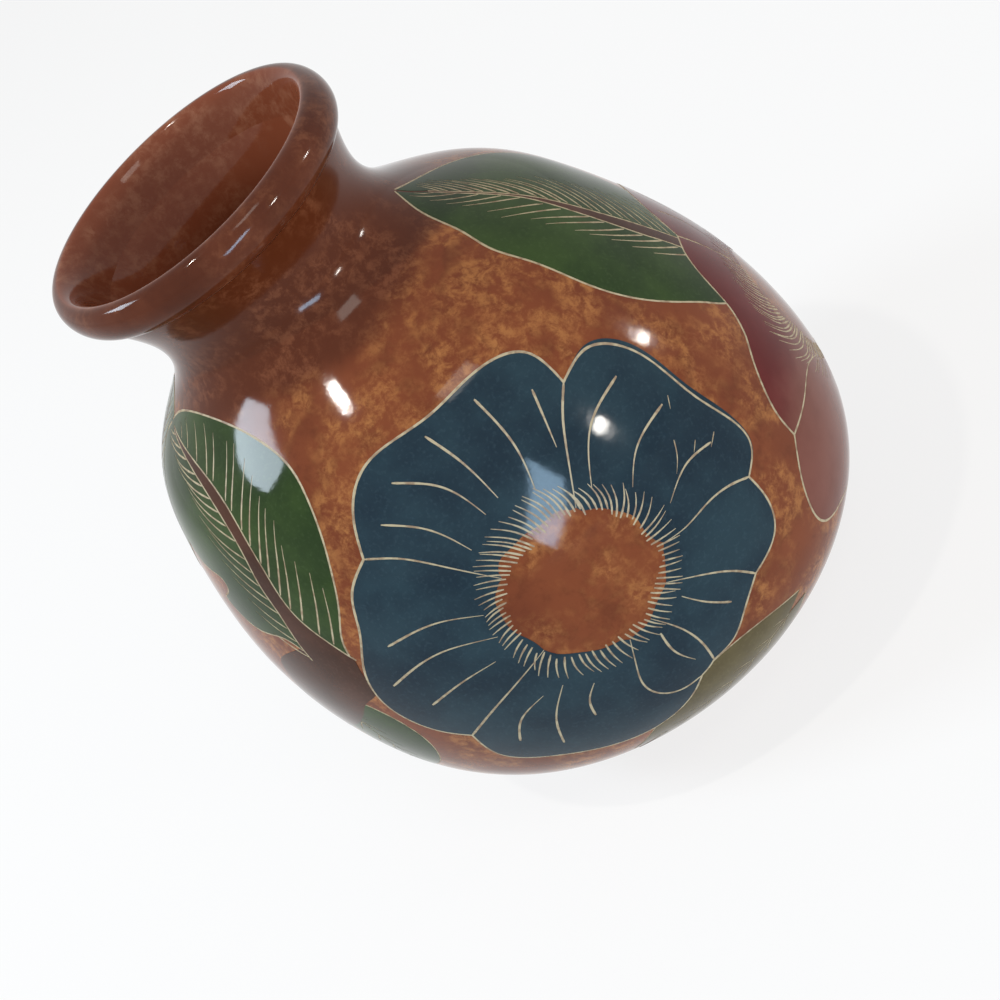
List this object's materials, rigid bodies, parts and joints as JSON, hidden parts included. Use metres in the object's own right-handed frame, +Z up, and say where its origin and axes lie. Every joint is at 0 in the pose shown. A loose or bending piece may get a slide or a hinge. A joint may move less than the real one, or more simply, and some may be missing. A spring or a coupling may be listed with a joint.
{
  "type": "vase",
  "caption": "Round-bellied terracotta vase with a flared neck, rolled lip and incised flowers and leaves in coloured slip.",
  "frame": {"origin": "centre of the flat foot, on the surface that the vase stands on", "axes": "+Z up from the foot to the mouth, -Y towards the big blue flower, +X to the right of it"},
  "size_m": [0.1952, 0.1886, 0.228],
  "materials": {
    "bare_clay": "matte",
    "rust_glaze": "gloss",
    "brown_glaze": "gloss",
    "blue_slip": "gloss",
    "green_slip": "gloss",
    "olive_slip": "gloss",
    "brown_slip": "gloss",
    "red_slip": "gloss"
  },
  "bodies": {
    "root": {"foot_disc": "bare_clay", "heel_wall": "rust_glaze", "lower_wall": "rust_glaze", "upper_wall": "rust_glaze", "shoulder_wall": "rust_glaze", "neck_collar": "brown_glaze", "rim_lip": "brown_glaze", "back_flower_petal_1": "blue_slip", "back_flower_petal_2": "blue_slip", "back_flower_petal_3": "blue_slip", "back_flower_petal_4": "blue_slip", "back_flower_petal_5": "blue_slip", "back_left_leaf_left_half": "green_slip", "back_left_leaf_rib": "brown_slip", "back_left_leaf_right_half": "green_slip", "back_left_sprig_left_half": "green_slip", "back_left_sprig_right_half": "green_slip", "back_right_leaf_left_half": "green_slip", "back_right_leaf_rib": "brown_slip", "back_right_leaf_right_half": "green_slip", "back_right_sprig_left_half": "olive_slip", "back_right_sprig_right_half": "olive_slip", "front_flower_petal_1": "blue_slip", "front_flower_petal_2": "blue_slip", "front_flower_petal_3": "blue_slip", "front_flower_petal_4": "blue_slip", "front_flower_petal_5": "blue_slip", "front_flower_petal_6": "blue_slip", "front_flower_petal_7": "blue_slip", "front_sprig_left_half": "olive_slip", "front_sprig_right_half": "olive_slip", "left_leaf_left_half": "green_slip", "left_leaf_rib": "brown_slip", "left_leaf_right_half": "green_slip", "left_sprig_left_half": "green_slip", "left_sprig_right_half": "green_slip", "right_leaf_left_half": "green_slip", "right_leaf_rib": "brown_slip", "right_leaf_right_half": "green_slip", "side_flower_petal_1": "red_slip", "side_flower_petal_2": "red_slip", "side_flower_petal_3": "red_slip", "side_flower_petal_4": "red_slip", "side_flower_petal_5": "red_slip", "side_flower_petal_6": "red_slip"}
  },
  "joints": []
}
